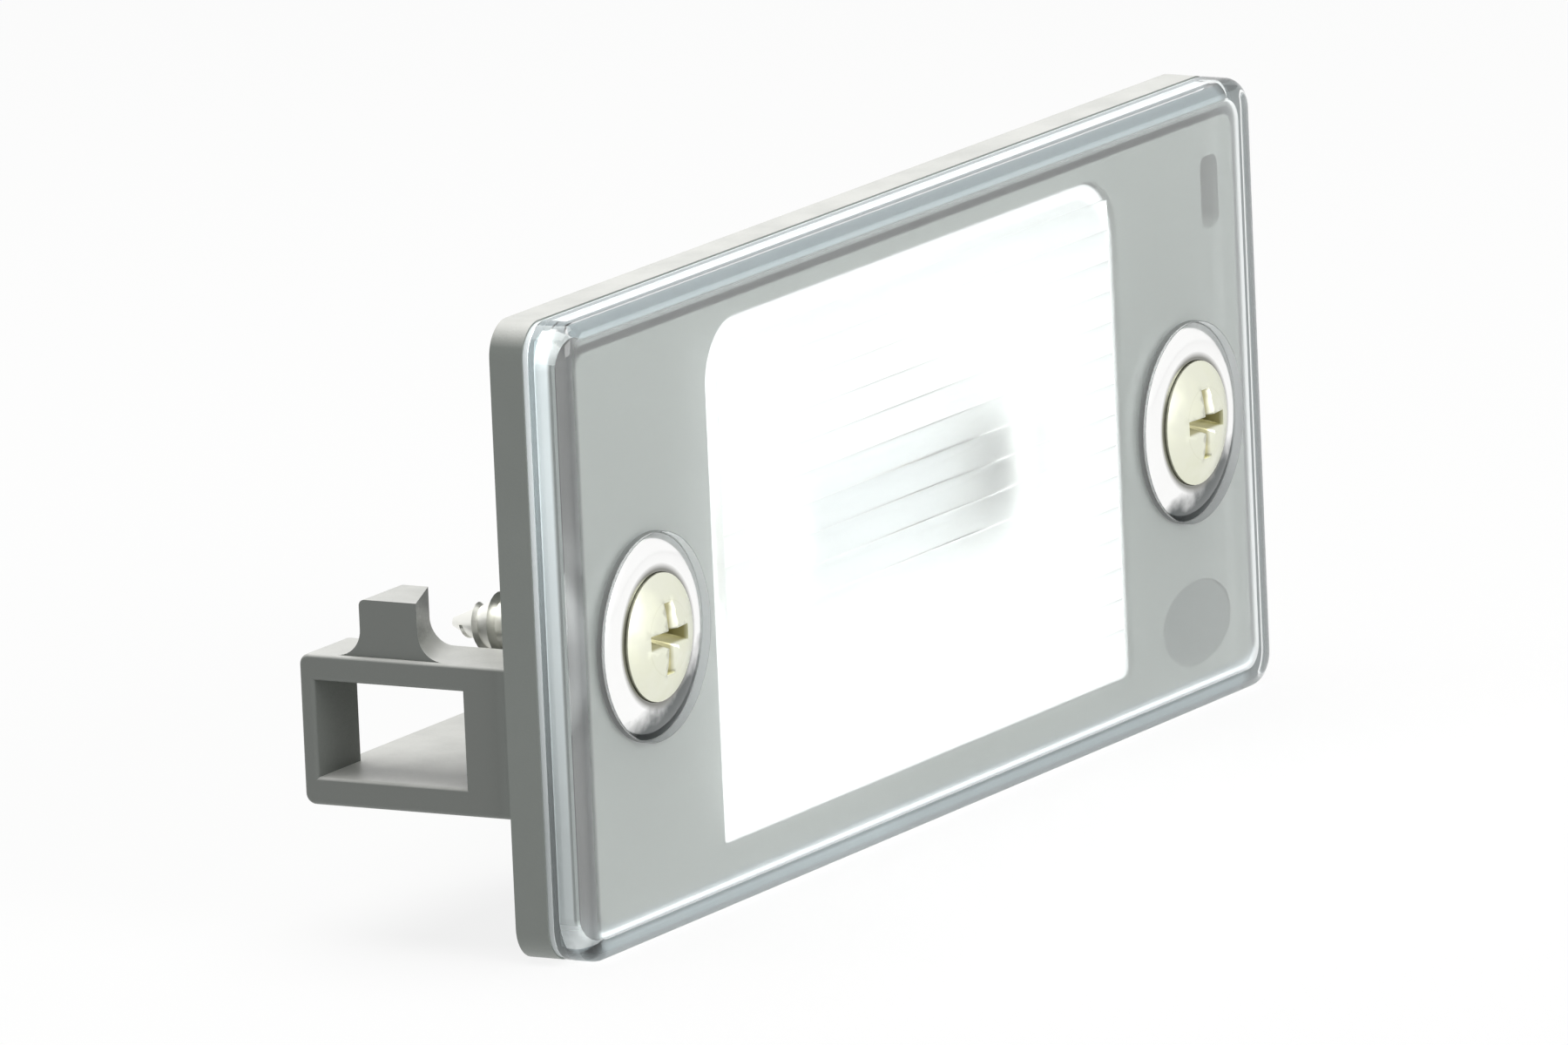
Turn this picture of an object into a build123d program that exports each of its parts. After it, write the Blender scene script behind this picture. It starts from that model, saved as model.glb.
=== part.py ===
from build123d import *
import os
from math import floor, radians, sin, sqrt, tan

# Number plate lamp: a clear lens over a grey moulded housing, held to the bodywork by two screws.
# Frame, in millimetres: X along the plate, Y from the viewer towards the bodywork, Z up.
# The origin is the middle of the seat, the plane in which the housing's rim meets the bodywork.

# Plate
plate_width = 88.0
plate_height = 40.0
plate_depth = 5.4
plate_corner_radius = 2.2
fit_gap = 0.1

# Lens
lens_wall = 1.4
lens_skirt_depth = 2.7
lens_skirt_wall = 1.3
lens_edge_radius = 1.1
flute_pitch = 2.0
flute_height = 0.14
flute_margin = 1.3
flute_root = 0.2

# Seal between the lens and the housing, with a foot under the skirt's rim and a thin wall inside it
seal_foot_height = 0.4
seal_wall_height = 1.5
seal_wall_thickness = 0.3
seal_wall_taper = 2.0
seal_inset = 0.12
seal_clearance = 0.05
seal_groove = 0.5

# Window
window_side_margin = 17.7
window_top_margin = 3.2
window_foot_margin = 3.75
window_top_radius = 4.0
window_foot_radius = 0.8

# Screws, with raised countersunk heads
screw_inset = 9.55
screw_drop = 1.1
screw_shank_radius = 2.1
screw_neck_radius = 1.75
screw_hole_clearance = 0.25
screw_reach = 9.1
screw_tip_length = 3.0
screw_tip_radius = 0.3
thread_setback = 0.4
head_radius = 4.0
head_rise = 0.55
head_land = 0.2
head_dome = 0.95
head_angle = 90.0
cross_length = 4.6
cross_width = 1.1
cross_depth = 1.9
cross_taper = 10.0

# Cup washers that the screw heads sit in, each in a recess of the lens
washer_sink = 0.55
washer_foot_radius = 6.4
washer_lip_radius = 4.6
washer_lip_height = 0.55
washer_bulge = 0.12
washer_wall = 0.5
washer_head_clearance = 0.05
washer_seat_clearance = 0.1

# Housing
flange_rim = 2.4
flange_core_depth = 1.6
boss_wall = 1.5
rib_thickness = 1.0
rib_spacing = 20.0
rib_setback = 0.4
chamber_wall = 1.5
chamber_draft = 12.0
chamber_edge_radius = 0.8
mark_length = 9.0
mark_height = 5.5
mark_depth = 0.15
mark_inset_x = 9.2
mark_inset_z = 5.7
vent_width = 2.3
vent_height = 4.7
vent_corner_radius = 0.75
vent_inset_x = 5.3
vent_inset_z = 6.8

# Plug guide behind the left end: a loop, a shelf that runs inboard from its floor, and a catch
loop_inset = 0.5
loop_length = 5.1
loop_reach = 15.0
loop_foot_height = 8.85
loop_floor = 1.75
loop_opening_height = 6.1
loop_roof = 1.65
loop_pillar = 3.4
loop_back_wall = 1.05
loop_corner_radius = 0.7
loop_edge_radius = 0.3
shelf_length = 18.0
shelf_corner_radius = 3.0
catch_setback = 0.4
catch_front = 6.6
catch_depth = 4.1
catch_height = 3.6
catch_foot_radius = 1.7
catch_top_radius = 0.4
catch_slant = 1.9

# Festoon bulb
bulb_length = 36.0
bulb_glass_radius = 4.75
bulb_glass_wall = 0.5
bulb_neck_radius = 3.7
bulb_neck_length = 2.0
bulb_shoulder_length = 2.0
bulb_front_gap = 1.35
bulb_back_gap = 0.35
cap_radius = 4.25
cap_length = 4.9
cap_skirt_length = 2.3
cap_nose_radius = 1.2
cap_fit_gap = 0.05
filament_length = 8.4
filament_radius = 0.25
filament_sag = 0.9
lead_radius = 0.2
lead_clearance = 0.12

# Reflector tray
reflector_wall = 0.8
reflector_rim_setback = 0.4
ridge_pitch = 2.0
ridge_height = 0.35
ridge_field_length = 22.0
ridge_field_height = 15.0
ridge_gap = 0.8
ridge_root = 0.2

# Contacts, each a spring leaf with a foot and a tail that leaves the chamber as a blade
strip_thickness = 0.6
foot_length = 5.6
foot_height = 3.5
leaf_height = 3.2
leaf_head = 2.9
leaf_corner_radius = 1.5
leaf_overlap = 0.2
leaf_nose_clearance = 0.05
blade_height = 2.0
blade_reach = 4.7
blade_gap = 1.2
blade_shelf_gap = 0.4
slot_clearance = 0.15
rivet_radius = 1.0
rivet_head_radius = 1.7
rivet_head_height = 0.5
rivet_head_taper = 30.0
rivet_inset = 2.0
rivet_rise = 2.2
rivet_clearance = 0.05

# Planes and places that several pieces share
lens_front = -plate_depth
lens_back = lens_front + lens_wall
lens_rim = lens_front + lens_skirt_depth
housing_face = lens_back + fit_gap
housing_ledge = lens_rim + seal_foot_height
core_floor = -flange_core_depth
seal_outer = lens_skirt_wall + seal_clearance
seal_inner = seal_outer + seal_wall_thickness
face_inset = seal_inner + seal_groove
window_width = plate_width - 2 * window_side_margin
window_height = plate_height - window_top_margin - window_foot_margin
window_z = (window_foot_margin - window_top_margin) / 2
screw_sides = (-1, 1)
screw_x = plate_width / 2 - screw_inset
screw_z = -screw_drop
screw_hole_radius = screw_shank_radius + screw_hole_clearance
washer_foot = lens_front + washer_sink
head_rim = washer_foot - head_rise
dome_rim = head_rim - head_land
head_top = dome_rim - head_dome
head_slope = 1 / tan(radians(head_angle / 2))
neck_start_y = head_rim + (head_radius - screw_neck_radius) * head_slope
washer_lip = washer_foot - washer_lip_height
washer_seat_y = head_rim + washer_head_clearance
lip_inner_radius = head_radius + (washer_seat_y - washer_lip) / head_slope
washer_hole_y = washer_seat_y + (head_radius - screw_hole_radius) * head_slope
washer_back = washer_hole_y + washer_wall / sin(radians(head_angle / 2))
washer_cone_radius = screw_hole_radius + (washer_back - washer_foot) / head_slope
lens_recess_radius = washer_foot_radius + washer_seat_clearance
lens_hole_front = washer_cone_radius + washer_seat_clearance
lens_hole_back = lens_hole_front - (lens_back - washer_foot) / head_slope
boss_bore_back = washer_back + washer_seat_clearance
vent_x = plate_width / 2 - vent_inset_x
vent_z = plate_height / 2 - vent_inset_z
bulb_y = lens_back + flute_height + bulb_front_gap + bulb_glass_radius
foot_front = bulb_y + bulb_glass_radius + bulb_back_gap
tray_floor = foot_front + strip_thickness
tray_back = tray_floor + reflector_wall
cavity_floor = tray_back + fit_gap
chamber_back = cavity_floor + chamber_wall
loop_near = -plate_width / 2 + loop_inset
loop_far = loop_near + loop_length
loop_foot = -plate_height / 2 + loop_foot_height
shelf_top = loop_foot + loop_floor
loop_roof_under = shelf_top + loop_opening_height
loop_top = loop_roof_under + loop_roof
catch_top = loop_top + catch_height
reflector_rim = housing_face + reflector_rim_setback
bulb_axis = Axis((0, bulb_y, 0), (1, 0, 0))
neck_start = bulb_length / 2 - cap_length
neck_end = neck_start + bulb_neck_length
shoulder_end = neck_start - bulb_shoulder_length
leaf_outer = bulb_length / 2 + leaf_overlap
leaf_inner = leaf_outer - strip_thickness
leaf_tip = bulb_y - leaf_head
nose_slope = (cap_radius - cap_nose_radius) / (cap_length - cap_skirt_length)
leaf_hole_radius = cap_nose_radius + (bulb_length / 2 - leaf_inner) * nose_slope + leaf_nose_clearance
rivet_places = [
    (side * (leaf_outer - foot_length + rivet_inset), rise)
    for side in (-1, 1)
    for rise in (-rivet_rise, rivet_rise)
]
lead_start = filament_length / 2 + lead_clearance
ridge_count = floor(ridge_field_length / ridge_pitch)
flank_mid_radius = (washer_foot_radius + washer_lip_radius) / 2
flank_mid_y = (washer_foot + washer_lip) / 2
dome_radius = (head_radius**2 + head_dome**2) / (2 * head_dome)
dome_mid = head_radius / sqrt(2)
dome_mid_y = head_top + dome_radius - sqrt(dome_radius**2 - dome_mid**2)
lower_blade_z = shelf_top + blade_shelf_gap + blade_height / 2
upper_blade_z = lower_blade_z + blade_height + blade_gap
ridge_foot = lower_blade_z + blade_height / 2 + ridge_gap


def at_depth(y):
    """Plane across the lamp at this depth, facing the viewer, with X to the right and Z up."""
    return Plane.XZ.offset(-y)


def screw_plane(side):
    """Plane through one screw's axis, with X out from the axis and Y along it."""
    return Plane((side * screw_x, 0, screw_z), x_dir=(1, 0, 0), z_dir=(0, 0, 1))


def screw_axis(side):
    """Axis of one screw, towards the bodywork."""
    return Axis((side * screw_x, 0, screw_z), (0, 1, 0))


def draft_inset(y):
    """How far the chamber's walls have drawn in at this depth behind the housing's face."""
    return (y - housing_face) * tan(radians(chamber_draft))


def window_outline(growth):
    """Window's outline, with large top corners and small bottom corners, grown by a margin."""
    with Locations((0, window_z)):
        Rectangle(window_width + 2 * growth, window_height + 2 * growth)
    fillet(vertices().group_by(Axis.Y)[-1], window_top_radius)
    fillet(vertices().group_by(Axis.Y)[0], window_foot_radius)


def chamber_sections(front_y, back_y, growth):
    """Window's outline at two depths, drawn in by the chamber's draft and grown by a margin."""
    sections = []
    for depth in (front_y, back_y):
        with BuildSketch(at_depth(depth)) as outline:
            window_outline(growth - draft_inset(depth))
        sections.append(outline.sketch.face())
    return sections


# Blades start at the chamber's wall, where its draft has drawn it in
blade_root = -(window_width / 2 + chamber_wall - draft_inset(foot_front))
blade_tip = blade_root - blade_reach

# Lens: a clear cap with a skirt, a recess and a countersunk hole for each screw, and flutes in the window
flute_count = floor((window_height - 2 * flute_margin) / flute_pitch)
flute_foot = window_z - flute_count * flute_pitch / 2
flute_top = window_z + flute_count * flute_pitch / 2
flute_length = window_width - 2 * flute_margin

with BuildPart() as lens:
    with BuildSketch(at_depth(lens_rim)):
        RectangleRounded(plate_width, plate_height, plate_corner_radius)
    extrude(amount=lens_skirt_depth)
    fillet(lens.faces().sort_by(Axis.Y)[0].edges(), lens_edge_radius)
    with BuildSketch(at_depth(lens_rim)):
        RectangleRounded(
            plate_width - 2 * lens_skirt_wall,
            plate_height - 2 * lens_skirt_wall,
            plate_corner_radius - lens_skirt_wall / 2,
        )
    extrude(amount=lens_skirt_depth - lens_wall, mode=Mode.SUBTRACT)
    for side in screw_sides:
        with BuildSketch(screw_plane(side)):
            with BuildLine():
                Polyline(
                    (0, lens_front),
                    (lens_recess_radius, lens_front),
                    (lens_recess_radius, washer_foot),
                    (lens_hole_front, washer_foot),
                    (lens_hole_back, lens_back),
                    (0, lens_back),
                    close=True,
                )
            make_face()
        revolve(axis=screw_axis(side), mode=Mode.SUBTRACT)
    with BuildSketch(Plane.YZ.offset(-flute_length / 2)):
        with BuildLine():
            for index in range(flute_count):
                foot_z = flute_foot + index * flute_pitch
                ThreePointArc(
                    (lens_back, foot_z),
                    (lens_back + flute_height, foot_z + flute_pitch / 2),
                    (lens_back, foot_z + flute_pitch),
                )
            Polyline(
                (lens_back, flute_top),
                (lens_back - flute_root, flute_top),
                (lens_back - flute_root, flute_foot),
                (lens_back, flute_foot),
            )
        make_face()
    extrude(amount=flute_length)
lens.part.label = "lens"

# Seal: a soft ring round the housing's face, with a foot that the rim of the lens's skirt presses down
with BuildPart() as lens_seal:
    with BuildSketch(at_depth(housing_ledge)):
        RectangleRounded(
            plate_width - 2 * seal_inset,
            plate_height - 2 * seal_inset,
            plate_corner_radius - seal_inset,
        )
    extrude(amount=seal_foot_height)
    with BuildSketch(at_depth(housing_ledge)):
        RectangleRounded(
            plate_width - 2 * seal_outer,
            plate_height - 2 * seal_outer,
            plate_corner_radius - seal_outer / 2,
        )
    extrude(amount=seal_wall_height, taper=seal_wall_taper)
    with BuildSketch(at_depth(housing_ledge)):
        RectangleRounded(
            plate_width - 2 * seal_inner,
            plate_height - 2 * seal_inner,
            plate_corner_radius - seal_inner / 2,
        )
    extrude(amount=seal_wall_height, mode=Mode.SUBTRACT)
lens_seal.part.label = "lens_seal"

# Housing: one grey moulding with the flange, the bulb chamber and the plug guide
chamber_outer_width = window_width + 2 * chamber_wall
pocket_inner = chamber_outer_width / 2
pocket_outer = plate_width / 2 - flange_rim

with BuildPart() as housing:
    loft(chamber_sections(core_floor, chamber_back, chamber_wall), ruled=True)
    fillet(housing.faces().sort_by(Axis.Y)[-1].edges(), chamber_edge_radius)
    with BuildSketch(Plane.YZ.offset(loop_near)):
        with Locations(((core_floor + loop_reach) / 2, (loop_foot + loop_top) / 2)):
            Rectangle(loop_reach - core_floor, loop_top - loop_foot)
        fillet(vertices().group_by(Axis.X)[-1], loop_corner_radius)
        with Locations(
            (
                (loop_pillar + loop_reach - loop_back_wall) / 2,
                (shelf_top + loop_roof_under) / 2,
            )
        ):
            Rectangle(
                loop_reach - loop_back_wall - loop_pillar,
                loop_opening_height,
                mode=Mode.SUBTRACT,
            )
    extrude(amount=loop_length)
    fillet(housing.faces().sort_by(Axis.X)[0].edges(), loop_edge_radius)
    for catch_x, slant in ((loop_near + catch_setback, 0.0), (loop_far, catch_slant)):
        catch_nose = catch_front + slant
        catch_heel = catch_front + catch_depth
        with BuildSketch(Plane.YZ.offset(catch_x)):
            with BuildLine():
                Line(
                    (catch_nose - catch_foot_radius, loop_top),
                    (catch_heel + catch_foot_radius, loop_top),
                )
                RadiusArc(
                    (catch_heel + catch_foot_radius, loop_top),
                    (catch_heel, loop_top + catch_foot_radius),
                    catch_foot_radius,
                )
                Line(
                    (catch_heel, loop_top + catch_foot_radius),
                    (catch_heel, catch_top - catch_top_radius),
                )
                RadiusArc(
                    (catch_heel, catch_top - catch_top_radius),
                    (catch_heel - catch_top_radius, catch_top),
                    -catch_top_radius,
                )
                Line((catch_heel - catch_top_radius, catch_top), (catch_nose, catch_top))
                Line((catch_nose, catch_top), (catch_nose, loop_top + catch_foot_radius))
                RadiusArc(
                    (catch_nose, loop_top + catch_foot_radius),
                    (catch_nose - catch_foot_radius, loop_top),
                    catch_foot_radius,
                )
            make_face()
    loft(ruled=True)
    with BuildSketch(Plane.XY.offset(loop_foot)):
        with Locations((loop_far + shelf_length / 2, (core_floor + loop_reach) / 2)):
            Rectangle(shelf_length, loop_reach - core_floor)
        fillet(vertices().group_by(Axis.Y)[-1].sort_by(Axis.X)[-1], shelf_corner_radius)
    extrude(amount=loop_floor)
    with BuildSketch(at_depth(0)):
        RectangleRounded(plate_width, plate_height, plate_corner_radius)
    extrude(amount=-housing_ledge)
    with BuildSketch(at_depth(housing_ledge)):
        RectangleRounded(
            plate_width - 2 * face_inset,
            plate_height - 2 * face_inset,
            plate_corner_radius - face_inset / 2,
        )
    extrude(amount=housing_ledge - housing_face)
    with BuildSketch(at_depth(0)):
        for side in screw_sides:
            with Locations((side * (pocket_inner + pocket_outer) / 2, 0)):
                Rectangle(pocket_outer - pocket_inner, plate_height - 2 * flange_rim)
        for side in screw_sides:
            with Locations((side * screw_x, screw_z)):
                Circle(screw_hole_radius + boss_wall, mode=Mode.SUBTRACT)
    extrude(amount=flange_core_depth, mode=Mode.SUBTRACT)
    with BuildSketch(at_depth(core_floor)):
        for side in screw_sides:
            with Locations((side * (pocket_inner + pocket_outer) / 2, 0)):
                with GridLocations(0, rib_spacing, 1, 2):
                    Rectangle(pocket_outer - pocket_inner, rib_thickness)
    extrude(amount=-(flange_core_depth - rib_setback))
    loft(chamber_sections(housing_face, cavity_floor, 0), ruled=True, mode=Mode.SUBTRACT)
    for side in screw_sides:
        with BuildSketch(screw_plane(side)):
            with BuildLine():
                Polyline(
                    (0, housing_face),
                    (lens_hole_back, housing_face),
                    (lens_hole_back, boss_bore_back),
                    (screw_hole_radius, boss_bore_back),
                    (screw_hole_radius, 0),
                    (0, 0),
                    close=True,
                )
            make_face()
        revolve(axis=screw_axis(side), mode=Mode.SUBTRACT)
    with BuildSketch(at_depth(housing_face)):
        with Locations((vent_x, vent_z)):
            RectangleRounded(vent_width, vent_height, vent_corner_radius)
    extrude(amount=housing_face - core_floor, mode=Mode.SUBTRACT)
    with BuildSketch(at_depth(housing_face)):
        with Locations((plate_width / 2 - mark_inset_x, -plate_height / 2 + mark_inset_z)):
            Ellipse(mark_length / 2, mark_height / 2)
    extrude(amount=-mark_depth, mode=Mode.SUBTRACT)
    with BuildSketch(Plane.YZ.offset(blade_tip)):
        for blade_z in (lower_blade_z, upper_blade_z):
            with Locations((foot_front + strip_thickness / 2, blade_z)):
                Rectangle(strip_thickness + 2 * slot_clearance, blade_height + 2 * slot_clearance)
    extrude(amount=blade_reach + 2 * chamber_wall, mode=Mode.SUBTRACT)
    with BuildSketch(at_depth(cavity_floor)):
        with Locations(*rivet_places):
            Circle(rivet_radius + rivet_clearance)
    extrude(amount=-chamber_wall, mode=Mode.SUBTRACT)
housing.part.label = "housing"

# Reflector: a white tray that lines the chamber, with upright ridges behind the bulb
with BuildPart() as reflector:
    loft(chamber_sections(reflector_rim, tray_back, -fit_gap), ruled=True)
    loft(
        chamber_sections(reflector_rim, tray_floor, -fit_gap - reflector_wall),
        ruled=True,
        mode=Mode.SUBTRACT,
    )
    with BuildSketch(Plane.XY.offset(ridge_foot)):
        with BuildLine():
            for index in range(ridge_count):
                ridge_x = -ridge_count * ridge_pitch / 2 + index * ridge_pitch
                ThreePointArc(
                    (ridge_x, tray_floor),
                    (ridge_x + ridge_pitch / 2, tray_floor - ridge_height),
                    (ridge_x + ridge_pitch, tray_floor),
                )
            Polyline(
                (ridge_count * ridge_pitch / 2, tray_floor),
                (ridge_count * ridge_pitch / 2, tray_floor + ridge_root),
                (-ridge_count * ridge_pitch / 2, tray_floor + ridge_root),
                (-ridge_count * ridge_pitch / 2, tray_floor),
            )
        make_face()
    extrude(amount=ridge_field_height)
    with BuildSketch(Plane.YZ.offset(blade_tip)):
        for blade_z in (lower_blade_z, upper_blade_z):
            with Locations((foot_front + strip_thickness / 2, blade_z)):
                Rectangle(strip_thickness + 2 * slot_clearance, blade_height + 2 * slot_clearance)
    extrude(amount=blade_reach + 2 * chamber_wall, mode=Mode.SUBTRACT)
    with BuildSketch(at_depth(tray_floor)):
        with Locations(*rivet_places):
            Circle(rivet_radius + rivet_clearance)
    extrude(amount=-reflector_wall, mode=Mode.SUBTRACT)
reflector.part.label = "reflector"

# Contacts: a foot on the tray's floor, a leaf that takes the bulb's nose, and a tail out to the plug
contacts = {}
for side, blade_z in ((-1, upper_blade_z), (1, lower_blade_z)):
    foot_low = blade_z - blade_height / 2
    with BuildPart() as contact:
        with BuildSketch(at_depth(tray_floor)):
            with Locations((side * (leaf_outer - foot_length / 2), (foot_low + foot_height) / 2)):
                Rectangle(foot_length, foot_height - foot_low)
            with Locations(((side * leaf_outer + blade_tip) / 2, blade_z)):
                Rectangle(abs(side * leaf_outer - blade_tip), blade_height)
            with Locations(*[place for place in rivet_places if place[0] * side > 0]):
                Circle(rivet_radius + rivet_clearance, mode=Mode.SUBTRACT)
        extrude(amount=strip_thickness)
        with BuildSketch(Plane.YZ.offset(side * leaf_outer)):
            with Locations(((foot_front + leaf_tip) / 2, 0)):
                Rectangle(foot_front - leaf_tip, 2 * leaf_height)
            fillet(vertices().group_by(Axis.X)[0], leaf_corner_radius)
            with Locations((bulb_y, 0)):
                Circle(leaf_hole_radius, mode=Mode.SUBTRACT)
        extrude(amount=-side * strip_thickness)
    contacts[side] = contact
contacts[-1].part.label = "contact_left"
contacts[1].part.label = "contact_right"

# Rivets: through each foot, the tray and the chamber's wall, with a head at both ends
with BuildPart() as contact_rivets:
    with BuildSketch(at_depth(foot_front)):
        with Locations(*rivet_places):
            Circle(rivet_radius)
    extrude(amount=-(chamber_back - foot_front))
    with BuildSketch(at_depth(foot_front)):
        with Locations(*rivet_places):
            Circle(rivet_head_radius)
    extrude(amount=rivet_head_height, taper=rivet_head_taper)
    with BuildSketch(at_depth(chamber_back)):
        with Locations(*rivet_places):
            Circle(rivet_head_radius)
    extrude(amount=-rivet_head_height, taper=rivet_head_taper)
contact_rivets.part.label = "contact_rivets"

# Bulb: a glass tube with necks at both ends, a metal cap on each neck, and a filament on two leads
with BuildPart() as bulb_glass:
    with BuildSketch():
        with BuildLine():
            glass_line = [
                (-neck_end, bulb_neck_radius),
                (-neck_start, bulb_neck_radius),
                (-shoulder_end, bulb_glass_radius),
                (shoulder_end, bulb_glass_radius),
                (neck_start, bulb_neck_radius),
                (neck_end, bulb_neck_radius),
            ]
            Polyline(
                *[(x, bulb_y + r) for x, r in glass_line],
                *[(x, bulb_y + r - bulb_glass_wall) for x, r in reversed(glass_line)],
                close=True,
            )
        make_face()
    revolve(axis=bulb_axis)
bulb_glass.part.label = "bulb_glass"

caps = {}
for side in (-1, 1):
    with BuildPart() as cap:
        with BuildSketch():
            with BuildLine():
                Polyline(
                    (side * neck_end, bulb_y),
                    (side * neck_end, bulb_y + bulb_neck_radius + cap_fit_gap),
                    (side * neck_start, bulb_y + bulb_neck_radius + cap_fit_gap),
                    (side * neck_start, bulb_y + cap_radius),
                    (side * (neck_start + cap_skirt_length), bulb_y + cap_radius),
                    (side * bulb_length / 2, bulb_y + cap_nose_radius),
                    (side * bulb_length / 2, bulb_y),
                    close=True,
                )
            make_face()
        revolve(axis=bulb_axis)
    caps[side] = cap
caps[-1].part.label = "bulb_cap_left"
caps[1].part.label = "bulb_cap_right"

with BuildPart() as bulb_filament:
    with BuildLine() as filament_path:
        ThreePointArc(
            (-filament_length / 2, bulb_y, 0),
            (0, bulb_y, filament_sag),
            (filament_length / 2, bulb_y, 0),
        )
    with BuildSketch(Plane(filament_path.line @ 0, z_dir=filament_path.line % 0)):
        Circle(filament_radius)
    sweep()
bulb_filament.part.label = "bulb_filament"

with BuildPart() as bulb_leads:
    for side in (-1, 1):
        with BuildSketch(Plane.YZ.offset(side * lead_start)):
            with Locations((bulb_y, 0)):
                Circle(lead_radius)
        extrude(amount=side * (neck_end - lead_start))
bulb_leads.part.label = "bulb_leads"

# Cup washers: turned rings with a rounded flank, that lie in the lens's recesses and take the screw heads
with BuildPart() as cup_washers:
    for side in screw_sides:
        with BuildSketch(screw_plane(side)):
            with BuildLine():
                ThreePointArc(
                    (washer_foot_radius, washer_foot),
                    (flank_mid_radius + washer_bulge, flank_mid_y - washer_bulge),
                    (washer_lip_radius, washer_lip),
                )
                Polyline(
                    (washer_lip_radius, washer_lip),
                    (lip_inner_radius, washer_lip),
                    (screw_hole_radius, washer_hole_y),
                    (screw_hole_radius, washer_back),
                    (washer_cone_radius, washer_foot),
                    (washer_foot_radius, washer_foot),
                )
            make_face()
        revolve(axis=screw_axis(side))
cup_washers.part.label = "cup_washers"

# Screws: tapping screws with a raised countersunk head, a cross recess, a neck and a point
with BuildPart() as screws:
    for side in screw_sides:
        with BuildSketch(screw_plane(side)):
            with BuildLine():
                ThreePointArc((0, head_top), (dome_mid, dome_mid_y), (head_radius, dome_rim))
                Polyline(
                    (head_radius, dome_rim),
                    (head_radius, head_rim),
                    (screw_neck_radius, neck_start_y),
                    (screw_neck_radius, thread_setback),
                    (screw_shank_radius, thread_setback),
                    (screw_shank_radius, screw_reach - screw_tip_length),
                    (screw_tip_radius, screw_reach),
                    (0, screw_reach),
                    (0, head_top),
                )
            make_face()
        revolve(axis=screw_axis(side))
    with BuildSketch(at_depth(head_top)):
        with Locations((-screw_x, screw_z), (screw_x, screw_z)):
            Rectangle(cross_length, cross_width)
            Rectangle(cross_width, cross_length)
    extrude(amount=-cross_depth, taper=cross_taper, mode=Mode.SUBTRACT)
screws.part.label = "screws"

pieces = [
    lens,
    lens_seal,
    housing,
    reflector,
    contacts[-1],
    contacts[1],
    contact_rivets,
    bulb_glass,
    caps[-1],
    caps[1],
    bulb_filament,
    bulb_leads,
    cup_washers,
    screws,
]
os.makedirs("parts", exist_ok=True)
for piece in pieces:
    export_step(piece.part, f"parts/{piece.part.label}.step")
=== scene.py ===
import math

import bmesh
import bpy
from mathutils import Matrix, Vector


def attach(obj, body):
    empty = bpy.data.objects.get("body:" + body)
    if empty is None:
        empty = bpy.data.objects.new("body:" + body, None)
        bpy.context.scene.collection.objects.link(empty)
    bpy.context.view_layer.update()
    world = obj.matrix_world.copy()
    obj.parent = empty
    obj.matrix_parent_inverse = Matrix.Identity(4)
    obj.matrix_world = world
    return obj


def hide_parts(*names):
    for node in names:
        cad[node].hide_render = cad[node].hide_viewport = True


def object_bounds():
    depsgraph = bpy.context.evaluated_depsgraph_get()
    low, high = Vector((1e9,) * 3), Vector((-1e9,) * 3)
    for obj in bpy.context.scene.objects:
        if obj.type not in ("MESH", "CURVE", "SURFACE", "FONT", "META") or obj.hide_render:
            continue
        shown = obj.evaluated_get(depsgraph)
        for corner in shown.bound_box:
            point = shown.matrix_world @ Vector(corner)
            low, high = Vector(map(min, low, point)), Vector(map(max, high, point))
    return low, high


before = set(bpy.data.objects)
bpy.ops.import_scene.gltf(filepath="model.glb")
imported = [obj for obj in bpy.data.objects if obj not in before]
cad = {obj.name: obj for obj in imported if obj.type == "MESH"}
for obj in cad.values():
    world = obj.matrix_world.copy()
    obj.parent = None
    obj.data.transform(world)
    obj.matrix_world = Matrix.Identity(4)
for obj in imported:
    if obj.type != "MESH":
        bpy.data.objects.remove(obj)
cad_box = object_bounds()

# Housing: one injection moulding in grey plastic, with the flange, the bulb chamber and the plug guide.
# Its tool left a fine grain and an uneven pigment, which is painted lighter towards the right as painted
# light.
# What faces up has dust on it, laid thick enough to be painted top light too, and the groove's bottom is
# painted pale as painted light.
# The groove's other sides and all behind the seat are painted dark as painted shade.
moulded_surface = bpy.data.node_groups.new("moulded_surface", "ShaderNodeTree")
face = moulded_surface.interface
face.new_socket("Vector", in_out="INPUT", socket_type="NodeSocketVector")
face.new_socket("Grain Scale", in_out="INPUT", socket_type="NodeSocketFloat")
face.new_socket("Mottle Scale", in_out="INPUT", socket_type="NodeSocketFloat")
face.new_socket("Grain", in_out="OUTPUT", socket_type="NodeSocketFloat")
face.new_socket("Mottle", in_out="OUTPUT", socket_type="NodeSocketFloat")
inside = moulded_surface.nodes
socket_in = inside.new("NodeGroupInput")
socket_out = inside.new("NodeGroupOutput")
grain = inside.new("ShaderNodeTexNoise")
grain.inputs["Detail"].default_value = 3.0
grain.inputs["Roughness"].default_value = 0.6
mottle = inside.new("ShaderNodeTexNoise")
mottle.inputs["Detail"].default_value = 4.0
mottle.inputs["Roughness"].default_value = 0.55
wire = moulded_surface.links.new
wire(socket_in.outputs["Vector"], grain.inputs["Vector"])
wire(socket_in.outputs["Grain Scale"], grain.inputs["Scale"])
wire(socket_in.outputs["Vector"], mottle.inputs["Vector"])
wire(socket_in.outputs["Mottle Scale"], mottle.inputs["Scale"])
wire(grain.outputs["Fac"], socket_out.inputs["Grain"])
wire(mottle.outputs["Fac"], socket_out.inputs["Mottle"])

# Dust on faces that look up, laid thick enough to be painted top light as well.
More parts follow.
